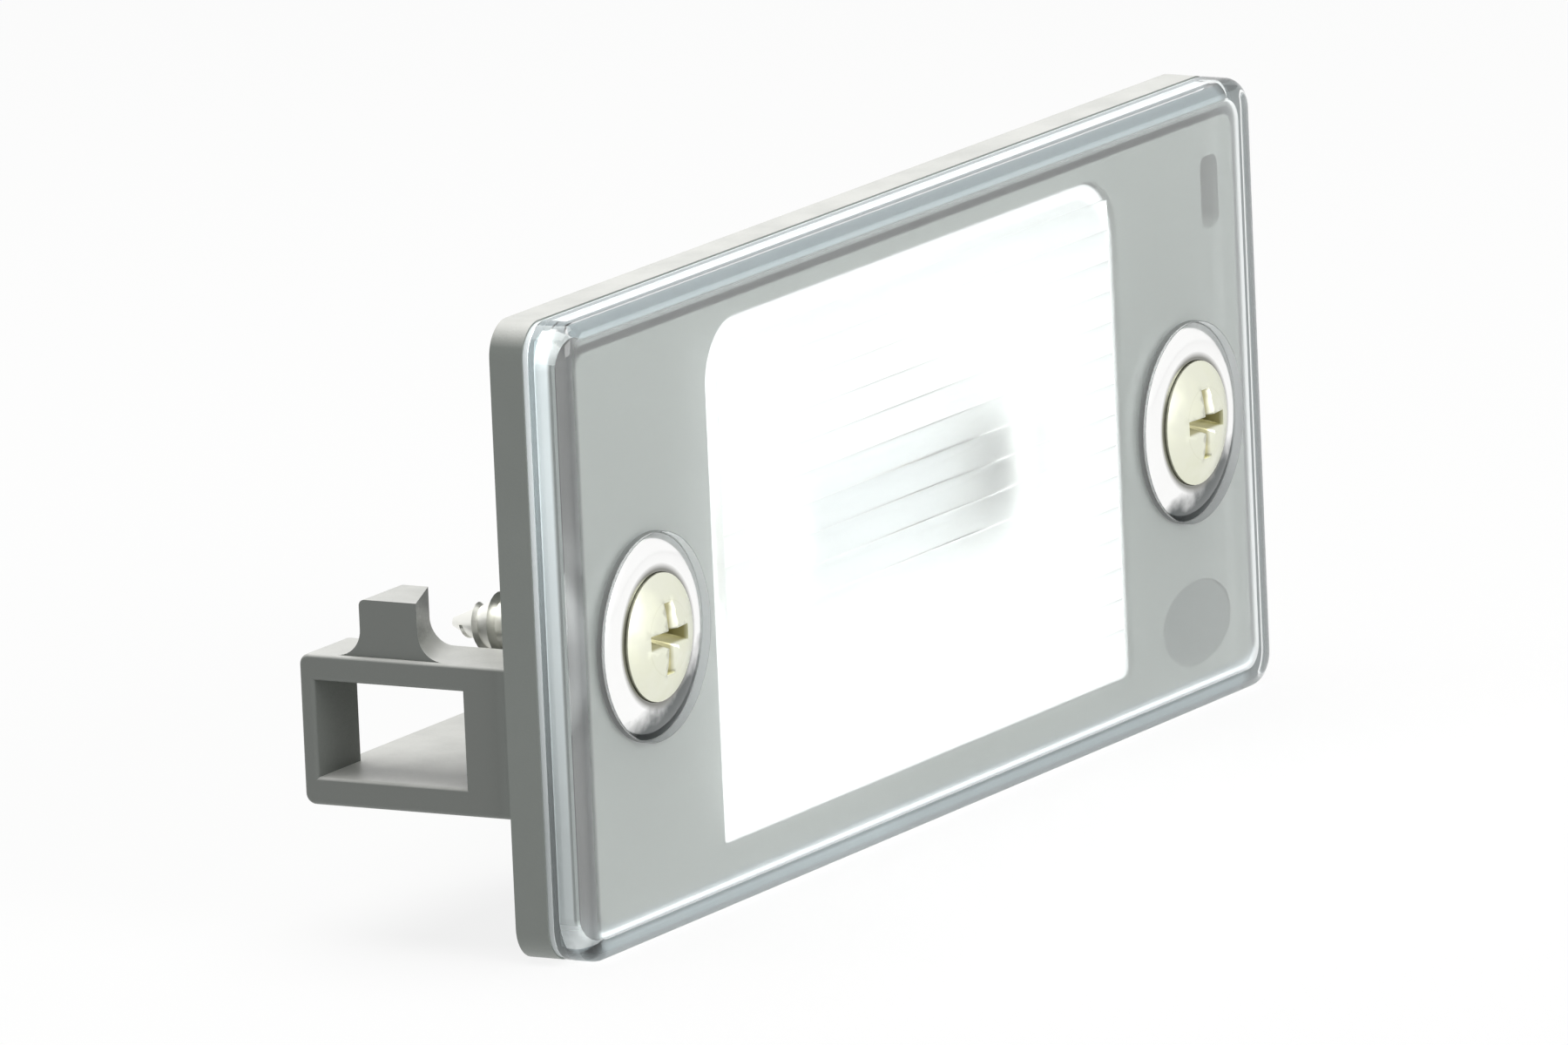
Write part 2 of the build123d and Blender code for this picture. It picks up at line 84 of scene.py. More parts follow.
dust_and_top_light = bpy.data.node_groups.new("dust_and_top_light", "ShaderNodeTree")
face = dust_and_top_light.interface
face.new_socket("Vector", in_out="INPUT", socket_type="NodeSocketVector")
face.new_socket("Patch Scale", in_out="INPUT", socket_type="NodeSocketFloat")
face.new_socket("Dust And Light", in_out="OUTPUT", socket_type="NodeSocketFloat")
inside = dust_and_top_light.nodes
socket_in = inside.new("NodeGroupInput")
socket_out = inside.new("NodeGroupOutput")
patches = inside.new("ShaderNodeTexNoise")
patches.inputs["Detail"].default_value = 5.0
upward = inside.new("ShaderNodeNewGeometry")
parts = inside.new("ShaderNodeSeparateXYZ")
lie = inside.new("ShaderNodeMapRange")
lie.inputs["From Min"].default_value = 0.35
lie.inputs["From Max"].default_value = 0.95
layer = inside.new("ShaderNodeMapRange")
layer.inputs["From Min"].default_value = 0.3
layer.inputs["From Max"].default_value = 0.6
layer.inputs["To Min"].default_value = 0.66
layer.inputs["To Max"].default_value = 0.86
cover = inside.new("ShaderNodeMath")
cover.operation = "MULTIPLY"
wire = dust_and_top_light.links.new
wire(socket_in.outputs["Vector"], patches.inputs["Vector"])
wire(socket_in.outputs["Patch Scale"], patches.inputs["Scale"])
wire(upward.outputs["Normal"], parts.inputs["Vector"])
wire(parts.outputs["Z"], lie.inputs["Value"])
wire(lie.outputs["Result"], cover.inputs[0])
wire(patches.outputs["Fac"], layer.inputs["Value"])
wire(layer.outputs["Result"], cover.inputs[1])
wire(cover.outputs["Value"], socket_out.inputs["Dust And Light"])


def new_finish(name):
    """A material with a Principled BSDF and Object coordinates, ready for its own nodes."""
    finish = bpy.data.materials.new(name)
    finish.use_nodes = True
    tree = finish.node_tree
    tree.nodes.clear()
    output = tree.nodes.new("ShaderNodeOutputMaterial")
    shader = tree.nodes.new("ShaderNodeBsdfPrincipled")
    place = tree.nodes.new("ShaderNodeTexCoord")
    tree.links.new(shader.outputs["BSDF"], output.inputs["Surface"])
    return finish, tree, shader, place.outputs["Object"]


def use_group(tree, group, place, **values):
    """One node of a shared group, fed with the piece's coordinates and this material's own values."""
    node = tree.nodes.new("ShaderNodeGroup")
    node.node_tree = group
    tree.links.new(place, node.inputs["Vector"])
    for name, value in values.items():
        node.inputs[name.replace("_", " ")].default_value = value
    return node


def mix_colours(tree, mask, low, high):
    """Colour that goes from low to high with a mask; each is a colour or another node's output."""
    mix = tree.nodes.new("ShaderNodeMix")
    mix.data_type = "RGBA"
    tree.links.new(mask, mix.inputs["Factor"])
    for value, name in ((low, "A"), (high, "B")):
        socket = next(s for s in mix.inputs if s.name == name and s.type == "RGBA")
        if isinstance(value, bpy.types.NodeSocket):
            tree.links.new(value, socket)
        else:
            socket.default_value = (*value, 1.0)
    return next(s for s in mix.outputs if s.type == "RGBA")


def spread(tree, value, low, high, from_low=0.3, from_high=0.7):
    """A value carried from one range to another, and held at the ends."""
    span = tree.nodes.new("ShaderNodeMapRange")
    span.inputs["From Min"].default_value = from_low
    span.inputs["From Max"].default_value = from_high
    span.inputs["To Min"].default_value = low
    span.inputs["To Max"].default_value = high
    tree.links.new(value, span.inputs["Value"])
    return span.outputs["Result"]


def raise_grain(tree, shader, height, distance, strength=1.0):
    """Bump from a height, with its depth in metres."""
    bump = tree.nodes.new("ShaderNodeBump")
    bump.inputs["Distance"].default_value = distance
    bump.inputs["Strength"].default_value = strength
    tree.links.new(height, bump.inputs["Height"])
    tree.links.new(bump.outputs["Normal"], shader.inputs["Normal"])


def combine(tree, operation, first, second):
    """One math node on two values, each a number or another node's output."""
    node = tree.nodes.new("ShaderNodeMath")
    node.operation = operation
    for value, socket in ((first, node.inputs[0]), (second, node.inputs[1])):
        if isinstance(value, bpy.types.NodeSocket):
            tree.links.new(value, socket)
        else:
            socket.default_value = value
    return node.outputs["Value"]


grey_plastic, tree, shader, place = new_finish("grey_plastic")
skin = use_group(tree, moulded_surface, place, Grain_Scale=5200.0, Mottle_Scale=170.0)
dust_and_light = use_group(tree, dust_and_top_light, place, Patch_Scale=240.0)
ways = tree.nodes.new("ShaderNodeSeparateXYZ")
tree.links.new(place, ways.inputs["Vector"])
half_width = 0.044
face_x, face_z = 0.0416, 0.0176
face_y, face_round, ledge_y = -0.0039, 0.0002, -0.00235
deep_pigment, pale_pigment = (0.193, 0.211, 0.195), (0.248, 0.267, 0.250)
oval_tone, rear_shade_tone = (0.155, 0.170, 0.160), (0.152, 0.162, 0.150)
painted_shade_tone, groove_bottom_light_tone, dust_and_light_tone = (0.05, 0.055, 0.05), (0.80, 0.82, 0.80), (0.78, 0.78, 0.75)
# Painted light: the pigment grows paler from left to right, as if the face were lit more strongly at the
# right.
painted_light_to_right = spread(tree, ways.outputs["X"], 0.0, 0.55, -half_width, half_width)
uneven = combine(tree, "ADD", combine(tree, "MULTIPLY", skin.outputs["Mottle"], 0.45), painted_light_to_right)
pigment = mix_colours(tree, uneven, deep_pigment, pale_pigment)
to_oval = tree.nodes.new("ShaderNodeMapping")
to_oval.vector_type = "TEXTURE"
oval_place, oval_reach = (0.0348, -0.0038, -0.0143), (0.0045, 0.0010, 0.00275)
to_oval.inputs["Location"].default_value = oval_place
to_oval.inputs["Scale"].default_value = oval_reach
from_oval = tree.nodes.new("ShaderNodeVectorMath")
from_oval.operation = "LENGTH"
tree.links.new(place, to_oval.inputs["Vector"])
tree.links.new(to_oval.outputs["Vector"], from_oval.inputs[0])
oval = spread(tree, from_oval.outputs["Value"], 1.0, 0.0, 0.9, 1.02)
with_oval = mix_colours(tree, oval, pigment, oval_tone)
# Painted shade: everything behind the seat plane is darkened towards a deeper grey.
rear_from, rear_to, rear_share = 0.0002, 0.0010, 0.75
rear_shade = spread(tree, ways.outputs["Y"], 0.0, rear_share, rear_from, rear_to)
rear_shaded = mix_colours(tree, rear_shade, with_oval, rear_shade_tone)
# Painted shade on the sides of the groove round the face, and painted light on its bottom, which is made
# pale.
past_side = combine(tree, "GREATER_THAN", combine(tree, "ABSOLUTE", ways.outputs["X"], 0.0), face_x)
past_end = combine(tree, "GREATER_THAN", combine(tree, "ABSOLUTE", ways.outputs["Z"], 0.0), face_z)
round_face = combine(tree, "MAXIMUM", past_side, past_end)
behind_face = spread(tree, ways.outputs["Y"], 0.0, 1.0, face_y, face_y + face_round)
outside = combine(tree, "GREATER_THAN", ways.outputs["Y"], ledge_y)
before_ledge = combine(tree, "SUBTRACT", 1.0, outside)
groove = combine(tree, "MULTIPLY", combine(tree, "MULTIPLY", round_face, behind_face), before_ledge)
bottom = combine(tree, "LESS_THAN", ways.outputs["Z"], -face_z)
groove_painted = mix_colours(tree, groove, rear_shaded, mix_colours(tree, bottom, painted_shade_tone, groove_bottom_light_tone))
# Dust and painted top light on the open faces that look up.
open_dust_and_light = combine(tree, "MULTIPLY", dust_and_light.outputs["Dust And Light"], outside)
tree.links.new(mix_colours(tree, open_dust_and_light, groove_painted, dust_and_light_tone), shader.inputs["Base Color"])
tree.links.new(spread(tree, skin.outputs["Grain"], 0.32, 0.46), shader.inputs["Roughness"])
raise_grain(tree, shader, skin.outputs["Grain"], 0.00003, 0.6)
cad["housing"].data.materials[0] = grey_plastic

# Reflector: a white tray pressed into the chamber, in smooth glossy plastic.
# It throws the bulb's light forward, and upright ridges behind the bulb spread it.
white_plastic, tree, shader, place = new_finish("white_plastic")
skin = use_group(tree, moulded_surface, place, Grain_Scale=2600.0, Mottle_Scale=120.0)
paint = mix_colours(tree, skin.outputs["Mottle"], (0.93, 0.94, 0.935), (0.96, 0.965, 0.96))
tree.links.new(paint, shader.inputs["Base Color"])
tree.links.new(spread(tree, skin.outputs["Mottle"], 0.18, 0.3), shader.inputs["Roughness"])
raise_grain(tree, shader, skin.outputs["Grain"], 0.00001, 0.3)
cad["reflector"].data.materials[0] = white_plastic

# Contacts and rivets: tinned spring strip, cut and bent, with brass rivets headed over at both ends.
# The strip keeps the marks of its rolling, and handling has dulled both metals in patches.
worked_metal = bpy.data.node_groups.new("worked_metal", "ShaderNodeTree")
face = worked_metal.interface
face.new_socket("Vector", in_out="INPUT", socket_type="NodeSocketVector")
face.new_socket("Line Scale", in_out="INPUT", socket_type="NodeSocketFloat")
face.new_socket("Patch Scale", in_out="INPUT", socket_type="NodeSocketFloat")
face.new_socket("Lines", in_out="OUTPUT", socket_type="NodeSocketFloat")
face.new_socket("Patches", in_out="OUTPUT", socket_type="NodeSocketFloat")
inside = worked_metal.nodes
socket_in = inside.new("NodeGroupInput")
socket_out = inside.new("NodeGroupOutput")
draw_out = inside.new("ShaderNodeMapping")
draw_out.inputs["Scale"].default_value = (0.06, 1.0, 1.0)
lines = inside.new("ShaderNodeTexNoise")
lines.inputs["Detail"].default_value = 3.0
patches = inside.new("ShaderNodeTexNoise")
patches.inputs["Detail"].default_value = 5.0
wire = worked_metal.links.new
wire(socket_in.outputs["Vector"], draw_out.inputs["Vector"])
wire(draw_out.outputs["Vector"], lines.inputs["Vector"])
wire(socket_in.outputs["Line Scale"], lines.inputs["Scale"])
wire(socket_in.outputs["Vector"], patches.inputs["Vector"])
wire(socket_in.outputs["Patch Scale"], patches.inputs["Scale"])
wire(lines.outputs["Fac"], socket_out.inputs["Lines"])
wire(patches.outputs["Fac"], socket_out.inputs["Patches"])

for name, bright, dull, pieces in (
    ("tinned_strip", (0.95, 0.95, 0.93), (0.86, 0.86, 0.83), ("contact_left", "contact_right")),
    ("rivet_brass", (0.80, 0.66, 0.36), (0.58, 0.45, 0.22), ("contact_rivets",)),
):
    metal, tree, shader, place = new_finish(name)
    worked = use_group(tree, worked_metal, place, Line_Scale=9000.0, Patch_Scale=900.0)
    tree.links.new(mix_colours(tree, worked.outputs["Patches"], bright, dull), shader.inputs["Base Color"])
    tree.links.new(spread(tree, worked.outputs["Lines"], 0.34, 0.5), shader.inputs["Roughness"])
    shader.inputs["Metallic"].default_value = 1.0
    raise_grain(tree, shader, worked.outputs["Lines"], 0.00001, 0.4)
    for piece in pieces:
        cad[piece].data.materials[0] = metal

# Bulb: a festoon bulb of clear blown glass with nickel-plated caps cemented on its necks.
# A fine tungsten coil hangs between two leads, and the caps have a pale, matt film from the bulb's heat.
blown_glass, tree, shader, place = new_finish("blown_glass")
skin = use_group(tree, moulded_surface, place, Grain_Scale=900.0, Mottle_Scale=260.0)
shader.inputs["Base Color"].default_value = (0.99, 0.995, 0.995, 1.0)
shader.inputs["Transmission Weight"].default_value = 1.0
shader.inputs["IOR"].default_value = 1.04
tree.links.new(spread(tree, skin.outputs["Mottle"], 0.02, 0.08), shader.inputs["Roughness"])
raise_grain(tree, shader, skin.outputs["Mottle"], 0.00002, 0.3)


def pass_shadow_rays(tree, shader, tint):
    """Lets light through a clear piece to what is behind it, instead of a caustic that is all noise."""
    ray = tree.nodes.new("ShaderNodeLightPath")
    clear = tree.nodes.new("ShaderNodeBsdfTransparent")
    clear.inputs["Color"].default_value = (*tint, 1.0)
    choose = tree.nodes.new("ShaderNodeMixShader")
    output = next(node for node in tree.nodes if node.type == "OUTPUT_MATERIAL")
    tree.links.new(ray.outputs["Is Shadow Ray"], choose.inputs["Fac"])
    tree.links.new(shader.outputs["BSDF"], choose.inputs[1])
    tree.links.new(clear.outputs["BSDF"], choose.inputs[2])
    tree.links.new(choose.outputs["Shader"], output.inputs["Surface"])


pass_shadow_rays(tree, shader, (0.998, 0.999, 0.999))
cad["bulb_glass"].data.materials[0] = blown_glass

nickel_cap, tree, shader, place = new_finish("nickel_cap")
worked = use_group(tree, worked_metal, place, Line_Scale=7000.0, Patch_Scale=700.0)
bright, dull = (0.94, 0.93, 0.91), (0.86, 0.85, 0.81)
tree.links.new(mix_colours(tree, worked.outputs["Patches"], bright, dull), shader.inputs["Base Color"])
tree.links.new(spread(tree, worked.outputs["Lines"], 0.3, 0.45), shader.inputs["Roughness"])
shader.inputs["Metallic"].default_value = 0.35
raise_grain(tree, shader, worked.outputs["Lines"], 0.00001, 0.3)
cad["bulb_cap_left"].data.materials[0] = nickel_cap
cad["bulb_cap_right"].data.materials[0] = nickel_cap

filament_wire, tree, shader, place = new_finish("filament_wire")
worked = use_group(tree, worked_metal, place, Line_Scale=12000.0, Patch_Scale=2500.0)
bright, dull = (0.70, 0.70, 0.71), (0.58, 0.58, 0.60)
tree.links.new(mix_colours(tree, worked.outputs["Patches"], bright, dull), shader.inputs["Base Color"])
tree.links.new(spread(tree, worked.outputs["Lines"], 0.3, 0.5), shader.inputs["Roughness"])
shader.inputs["Metallic"].default_value = 1.0
cad["bulb_filament"].data.materials[0] = filament_wire
cad["bulb_leads"].data.materials[0] = filament_wire

# Seal: a soft ring of pale silicone on the housing's ledge, pressed down by the rim of the lens's skirt.
# Its thin wall stands up inside the skirt.
# The wall's front edge, its right side and its lower left side are painted grey as painted shade, but not
# along the bottom.
seal_rubber, tree, shader, place = new_finish("seal_rubber")
skin = use_group(tree, moulded_surface, place, Grain_Scale=4000.0, Mottle_Scale=300.0)
silicone = mix_colours(tree, skin.outputs["Mottle"], (0.87, 0.93, 0.95), (0.93, 0.97, 0.98))
ways = tree.nodes.new("ShaderNodeSeparateXYZ")
tree.links.new(place, ways.inputs["Vector"])
wall_outer_x, wall_inner_x = 0.0423, 0.0412
wall_outer_z, wall_inner_z = 0.0183, 0.0172
wall_front, wall_behind = -0.00375, -0.0035
painted_shade_tone, left_share, right_share = (0.17, 0.185, 0.18), 0.55, 0.5
low_from, low_to = -0.012, 0.010
# Painted shade: the wall's front edge, its lower left and its right side are greyed.
front_edge = spread(tree, ways.outputs["Y"], 1.0, 0.0, wall_front, wall_behind)
off_bottom = spread(tree, ways.outputs["Z"], 0.0, 1.0, -wall_outer_z, -wall_inner_z)
shaded_front_edge = combine(tree, "MULTIPLY", front_edge, off_bottom)
at_left = spread(tree, ways.outputs["X"], 1.0, 0.0, -wall_outer_x, -wall_inner_x)
low = spread(tree, ways.outputs["Z"], left_share, 0.0, low_from, low_to)
low_left = combine(tree, "MULTIPLY", at_left, low)
at_right = spread(tree, ways.outputs["X"], 0.0, right_share, wall_inner_x, wall_outer_x)
shaded_sides = combine(tree, "MAXIMUM", low_left, at_right)
shaded_silicone = mix_colours(tree, combine(tree, "MAXIMUM", shaded_front_edge, shaded_sides), silicone, painted_shade_tone)
tree.links.new(shaded_silicone, shader.inputs["Base Color"])
tree.links.new(spread(tree, skin.outputs["Grain"], 0.55, 0.75), shader.inputs["Roughness"])
raise_grain(tree, shader, skin.outputs["Grain"], 0.00002, 0.5)
cad["lens_seal"].data.materials[0] = seal_rubber

# Lens: a clear polycarbonate cap, polished outside, with a matt back that is fluted behind the window.
# Its skirt slips over the housing's face and presses on the seal, and its recesses take the washers.
# The bottom and right edges are scuffed, and the grey tint on the left edge and in the recesses is painted
# shade.
clear_lens, tree, shader, place = new_finish("clear_lens")
skin = use_group(tree, moulded_surface, place, Grain_Scale=1500.0, Mottle_Scale=90.0)
shader.inputs["Transmission Weight"].default_value = 1.0
shader.inputs["IOR"].default_value = 1.585
screw_x, screw_z = 0.03445, -0.0011


def from_screw(tree, place):
    """Distance out from the nearer screw's axis, with the ways across, up and along it."""
    parts = tree.nodes.new("ShaderNodeSeparateXYZ")
    fold = tree.nodes.new("ShaderNodeMath")
    fold.operation = "WRAP"
    fold.inputs[1].default_value = screw_x
    fold.inputs[2].default_value = -screw_x
    tree.links.new(place, parts.inputs["Vector"])
    tree.links.new(combine(tree, "SUBTRACT", parts.outputs["X"], screw_x), fold.inputs[0])
    across = fold.outputs["Value"]
    up = combine(tree, "SUBTRACT", parts.outputs["Z"], screw_z)
    squares = combine(tree, "MULTIPLY", across, across), combine(tree, "MULTIPLY", up, up)
    return combine(tree, "SQRT", combine(tree, "ADD", *squares), 0.0), across, up, parts.outputs["Y"]


out, _, _, along = from_screw(tree, place)
sides = tree.nodes.new("ShaderNodeSeparateXYZ")
tree.links.new(place, sides.inputs["Vector"])
skirt_x, skirt_z, rim_y = 0.04265, 0.01865, -0.0032
back_y, flute_y, recess_radius = -0.0042, -0.00398, 0.00655
clear_tint, shade_tint = (0.97, 0.99, 0.99), (0.34, 0.36, 0.36)
back_matt, flute_matt, recess_matt, scuff_matt = 0.26, 0.6, 0.85, 0.4
within_x = combine(tree, "LESS_THAN", combine(tree, "ABSOLUTE", sides.outputs["X"], 0.0), skirt_x)
within_z = combine(tree, "LESS_THAN", combine(tree, "ABSOLUTE", sides.outputs["Z"], 0.0), skirt_z)
in_skirt = combine(tree, "MULTIPLY", within_x, within_z)
back = combine(tree, "MULTIPLY", in_skirt, combine(tree, "GREATER_THAN", along, back_y))
flutes = combine(tree, "MULTIPLY", in_skirt, combine(tree, "GREATER_THAN", along, flute_y))
recess = combine(tree, "LESS_THAN", out, recess_radius)
# Painted shade: a grey tint darkens the left rounded edge and the washers' recesses.
shade_outer, shade_inner, shade_fade = -0.0438, -0.0427, 0.0003
edge_start = spread(tree, sides.outputs["X"], 0.0, 1.0, shade_outer, shade_outer + shade_fade)
edge_end = spread(tree, sides.outputs["X"], 1.0, 0.0, shade_inner - shade_fade, shade_inner)
in_front = combine(tree, "LESS_THAN", along, back_y)
left_edge = combine(tree, "MULTIPLY", combine(tree, "MULTIPLY", edge_start, edge_end), in_front)
lens_shade = combine(tree, "MAXIMUM", recess, left_edge)
tree.links.new(mix_colours(tree, lens_shade, clear_tint, shade_tint), shader.inputs["Base Color"])
scuff_z, scuff_x, scuff_fade = -0.0196, 0.0436, 0.0008
bottom_edge = spread(tree, sides.outputs["Z"], scuff_matt, 0.0, scuff_z, scuff_z + scuff_fade)
right_edge = spread(tree, sides.outputs["X"], 0.0, scuff_matt, scuff_x - scuff_fade, scuff_x)
rim = combine(tree, "MAXIMUM", bottom_edge, right_edge)
scuffed = combine(tree, "MULTIPLY", rim, combine(tree, "LESS_THAN", along, rim_y))
matt_flutes = combine(tree, "MULTIPLY", flutes, flute_matt)
matt_back = combine(tree, "ADD", combine(tree, "MULTIPLY", back, back_matt), matt_flutes)
matt_recess = combine(tree, "MULTIPLY", recess, recess_matt)
matt = combine(tree, "MAXIMUM", combine(tree, "MAXIMUM", matt_back, scuffed), matt_recess)
smooth = spread(tree, skin.outputs["Mottle"], 0.03, 0.06)
tree.links.new(combine(tree, "ADD", smooth, matt), shader.inputs["Roughness"])
raise_grain(tree, shader, skin.outputs["Mottle"], 0.00002, 0.2)
pass_shadow_rays(tree, shader, (0.97, 0.98, 0.98))
cad["lens"].data.materials[0] = clear_lens

# Cup washers: bright nickel-plated rings, turned to fit the lens's recesses and seat the screws' heads.
# The low side and the crevice round the head are painted dark as painted shade.
bright_nickel, tree, shader, place = new_finish("bright_nickel")
worked = use_group(tree, worked_metal, place, Line_Scale=6000.0, Patch_Scale=500.0)
out, across, up, along = from_screw(tree, place)
# Painted shade: the low side of each washer and the crevice round the head are darkened.
low_across, low_up, ragged = 0.38, 0.92, 0.0007
low_shade_from, low_shade_full = 0.0028, 0.0046
crevice_inner, crevice_outer = 0.0042, 0.0046
low_side_shade_tone, crevice_shade_tone = (0.13, 0.14, 0.14), (0.25, 0.25, 0.23)
sideways = combine(tree, "MULTIPLY", across, low_across)
low_side = combine(tree, "SUBTRACT", sideways, combine(tree, "MULTIPLY", up, low_up))
uneven = spread(tree, worked.outputs["Patches"], -ragged, ragged)
lowest = combine(tree, "ADD", low_side, uneven)
low_side_shade = spread(tree, lowest, 0.0, 1.0, low_shade_from, low_shade_full)
crevice = spread(tree, out, 1.0, 0.0, crevice_inner, crevice_outer)
plating = mix_colours(tree, worked.outputs["Patches"], (0.98, 0.98, 0.975), (0.94, 0.94, 0.93))
dull = mix_colours(tree, low_side_shade, plating, low_side_shade_tone)
tree.links.new(mix_colours(tree, crevice, dull, crevice_shade_tone), shader.inputs["Base Color"])
tree.links.new(spread(tree, worked.outputs["Patches"], 0.10, 0.24), shader.inputs["Roughness"])
shader.inputs["Metallic"].default_value = 1.0
raise_grain(tree, shader, worked.outputs["Lines"], 0.00001, 0.2)
cad["cup_washers"].data.materials[0] = bright_nickel

# Screws: tapping screws with raised countersunk heads, in steel with a pale yellow zinc coat.
# The head is the CAD solid's own, and the rolled thread winds round a thinner core down to the point.
# The thread is worn nearly bare of its coat, and the cross is painted dark as painted shade.
yellow_zinc, tree, shader, place = new_finish("yellow_zinc")
worked = use_group(tree, worked_metal, place, Line_Scale=5000.0, Patch_Scale=650.0)
out, _, _, along = from_screw(tree, place)
# Painted shade: the cross in the head is darkened.
cross_reach, head_back, cross_shade_tone = 0.0024, -0.0034, (0.40, 0.38, 0.22)
cross_from, cross_floor = -0.00625, -0.00595
sunk = spread(tree, along, 0.0, 1.0, cross_from, cross_floor)
in_cross = combine(tree, "MULTIPLY", combine(tree, "LESS_THAN", out, cross_reach), sunk)
on_head = combine(tree, "LESS_THAN", along, head_back)
coat = mix_colours(tree, worked.outputs["Patches"], (0.82, 0.83, 0.72), (0.73, 0.74, 0.59))
bare = mix_colours(tree, worked.outputs["Patches"], (0.90, 0.90, 0.86), (0.82, 0.82, 0.76))
worn = mix_colours(tree, on_head, bare, coat)
head_cross = combine(tree, "MULTIPLY", in_cross, on_head)
tree.links.new(mix_colours(tree, head_cross, worn, cross_shade_tone), shader.inputs["Base Color"])
tree.links.new(spread(tree, worked.outputs["Patches"], 0.28, 0.46), shader.inputs["Roughness"])
shader.inputs["Metallic"].default_value = 1.0
raise_grain(tree, shader, worked.outputs["Lines"], 0.00001, 0.4)
cad["screws"].data.materials[0] = yellow_zinc
thread_start, taper_start, point = 0.0002, 0.0061, 0.0091
neck_radius, neck_length = 0.00175, 0.0003
core_radius, point_radius = 0.00158, 0.0003
root_radius, crest_radius = 0.0014, 0.0021
ridge_start, ridge_base = thread_start + 0.00005, 0.0008
pitch, turns, steps, core_steps = 0.0014, 5.5, 132, 32
taper_slope, weld = 0.6, 0.000002
threaded = bmesh.new()
threaded.from_mesh(cad["screws"].data)
bmesh.ops.remove_doubles(threaded, verts=threaded.verts, dist=weld)
cut = bmesh.ops.bisect_plane(
    threaded,
    geom=threaded.verts[:] + threaded.edges[:] + threaded.faces[:],
    plane_co=(0.0, thread_start, 0.0),
    plane_no=(0.0, 1.0, 0.0),
    clear_outer=True,
)
rims = [part for part in cut["geom_cut"] if isinstance(part, bmesh.types.BMEdge)]
bmesh.ops.holes_fill(threaded, edges=rims)
for side in (-1, 1):
    axis_at = Vector((side * screw_x, 0.0, screw_z))
    shank = bmesh.new()
    core_line = (
        (0.0, thread_start),
        (neck_radius, thread_start),
        (core_radius, thread_start + neck_length),
        (core_radius, taper_start),
        (point_radius, point),
        (0.0, point),
    )
    corners = [shank.verts.new((radius, reach, 0.0)) for radius, reach in core_line]
    for first, second in zip(corners, corners[1:]):
        shank.edges.new((first, second))
    bmesh.ops.spin(
        shank,
        geom=shank.verts[:] + shank.edges[:],
        cent=(0.0, 0.0, 0.0),
        axis=(0.0, 1.0, 0.0),
        angle=2 * math.pi,
        steps=core_steps,
        use_merge=True,
    )
    core = set(shank.verts)
    ridge_line = (
        (root_radius, ridge_start),
        (crest_radius, ridge_start + ridge_base / 2),
        (root_radius, ridge_start + ridge_base),
    )
    crest = [shank.verts.new((radius, reach, 0.0)) for radius, reach in ridge_line]
    ridge = [shank.edges.new((crest[end], crest[end - 1])) for end in range(3)]
    wound = bmesh.ops.spin(
        shank,
        geom=crest + ridge,
        cent=(0.0, 0.0, 0.0),
        axis=(0.0, 1.0, 0.0),
        dvec=(0.0, pitch * turns / steps, 0.0),
        angle=2 * math.pi * turns,
        steps=steps,
    )
    shank.faces.new(crest)
    shank.faces.new([part for part in wound["geom_last"] if isinstance(part, bmesh.types.BMVert)])
    for vert in set(shank.verts) - core:
        if vert.co.y > taper_start:
            taper = 1.0 - (vert.co.y - taper_start) * taper_slope / crest_radius
            vert.co.x *= taper
            vert.co.z *= taper
    bmesh.ops.remove_doubles(shank, verts=shank.verts, dist=weld)
    bmesh.ops.recalc_face_normals(shank, faces=shank.faces)
    bmesh.ops.translate(shank, verts=shank.verts, vec=axis_at)
    half = bpy.data.meshes.new("shank")
    shank.to_mesh(half)
    shank.free()
    threaded.from_mesh(half)
    bpy.data.meshes.remove(half)
screw_mesh = bpy.data.meshes.new("threaded_screws")
threaded.to_mesh(screw_mesh)
threaded.free()
screw_mesh.materials.append(yellow_zinc)
screw_mesh.set_sharp_from_angle(angle=math.radians(28.0))
threaded_screws = bpy.data.objects.new("threaded_screws", screw_mesh)
bpy.context.scene.collection.objects.link(threaded_screws)
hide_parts("screws")
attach(threaded_screws, "root")

# Studio: the lamp stands on its lower edge on a pale floor, in soft light from above and in front.
# The floor keeps the lamp's shadow, and floor and room are white to the camera and in reflections.
foot = cad_box[0][2]
floor_reach, floor_gap, floor_tone, white_share = 4.0, 0.0001, 0.92, 0.85
floor_mesh = bpy.data.meshes.new("floor")
sheet = bmesh.new()
bmesh.ops.create_grid(sheet, x_segments=1, y_segments=1, size=floor_reach)
bmesh.ops.translate(sheet, verts=sheet.verts, vec=(0.0, 0.0, foot - floor_gap))
sheet.to_mesh(floor_mesh)
sheet.free()
floor = bpy.data.objects.new("floor", floor_mesh)
bpy.context.scene.collection.objects.link(floor)
pale_floor, tree, shader, place = new_finish("pale_floor")
tree.nodes.remove(shader)
shaded = tree.nodes.new("ShaderNodeBsdfDiffuse")
shaded.inputs["Color"].default_value = (floor_tone, floor_tone, floor_tone, 1.0)
white = tree.nodes.new("ShaderNodeEmission")
white.inputs["Strength"].default_value = 1.0
with_shadow = tree.nodes.new("ShaderNodeMixShader")
with_shadow.inputs["Fac"].default_value = white_share
output = next(node for node in tree.nodes if node.type == "OUTPUT_MATERIAL")
tree.links.new(shaded.outputs["BSDF"], with_shadow.inputs[1])
tree.links.new(white.outputs["Emission"], with_shadow.inputs[2])
tree.links.new(with_shadow.outputs["Shader"], output.inputs["Surface"])
floor_mesh.materials.append(pale_floor)

